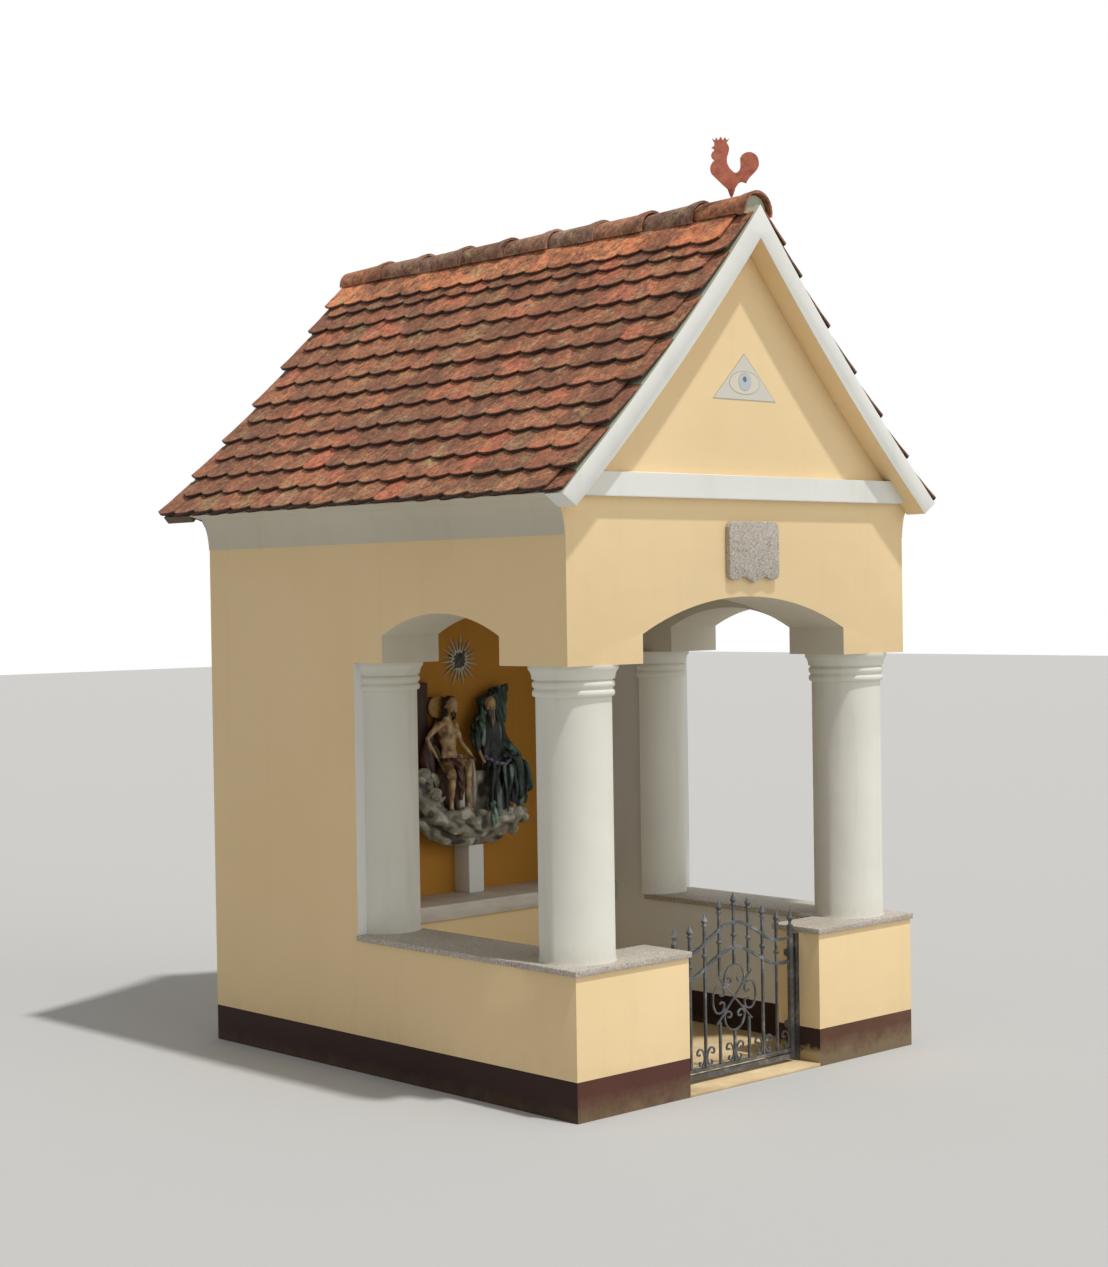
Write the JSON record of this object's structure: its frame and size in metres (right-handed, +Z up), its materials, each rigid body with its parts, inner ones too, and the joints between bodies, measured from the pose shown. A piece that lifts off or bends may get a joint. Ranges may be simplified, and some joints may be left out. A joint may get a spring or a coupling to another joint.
{
  "type": "wayside shrine",
  "caption": "Masonry wayside shrine with an open arched bay behind a wrought iron gate, a niche with an altar and figure group, and a tiled gable roof with a weathervane.",
  "frame": {"origin": "on the ground under the middle of the outer wall faces", "axes": "+Z up, -Y out of the gate front, +X to the right of a visitor who faces the gate"},
  "size_m": [2.828, 3.29, 4.6933],
  "materials": {
    "yellow_plaster": "painted lime plaster, warm cream yellow, brown band at the foot",
    "white_plaster": "painted plaster, off-white, smooth",
    "granite": "speckled sawn granite",
    "floor_concrete": "trowelled screed, beige",
    "altar_stone": "honed pale stone",
    "roof_boards": "weathered boards",
    "clay_tile": "fired clay, matt, weathered",
    "wrought_iron": "dark grey metallic paint",
    "copper_sheet": "weathered copper sheet, matt",
    "painted_figures": "painted carved figures, satin",
    "dark_wood": "dark stained wood"
  },
  "bodies": {
    "building": {"altar_block": "yellow_plaster", "altar_slab": "altar_stone", "ceiling": "white_plaster", "cloud_bank": "painted_figures", "cross": "dark_wood", "dove": "painted_figures", "floor_slab": "floor_concrete", "front_arch_wall": "yellow_plaster", "front_cornice": "white_plaster", "front_gable": "yellow_plaster", "front_verge": "white_plaster", "group_support": "yellow_plaster", "left_coping": "granite", "left_front_column": "white_plaster", "left_front_parapet": "yellow_plaster", "left_gate_post": "wrought_iron", "left_rear_column": "white_plaster", "left_roof_deck": "roof_boards", "left_side_arch_wall": "yellow_plaster", "left_side_cornice": "white_plaster", "left_side_parapet": "yellow_plaster", "left_side_wall": "yellow_plaster", "left_tile_field": "clay_tile", "plaque": "granite", "rear_gable": "yellow_plaster", "rear_verge": "white_plaster", "rear_wall": "yellow_plaster", "ridge_tiles": "clay_tile", "right_coping": "granite", "right_front_column": "white_plaster", "right_front_parapet": "yellow_plaster", "right_gate_post": "wrought_iron", "right_rear_column": "white_plaster", "right_roof_deck": "roof_boards", "right_side_arch_wall": "yellow_plaster", "right_side_cornice": "white_plaster", "right_side_parapet": "yellow_plaster", "right_side_wall": "yellow_plaster", "right_tile_field": "clay_tile", "seated_figure_left": "painted_figures", "seated_figure_right": "painted_figures", "vane_spindle": "wrought_iron"},
    "gate": {"gate_frame": "wrought_iron", "gate_scrolls": "wrought_iron", "gate_knuckles": "wrought_iron"},
    "vane": {"vane_bird": "copper_sheet"}
  },
  "joints": [
    {"name": "gate_hinge", "type": "hinge", "parent": "building", "child": "gate", "pos_m": [0.438, -1.274, 0.2], "axis": [0, 0, -1], "range_deg": [0, 95]},
    {"name": "vane_turn", "type": "hinge", "parent": "building", "child": "vane", "pos_m": [0, -1.358, 4.41], "axis": [0, 0, 1], "continuous": true}
  ]
}
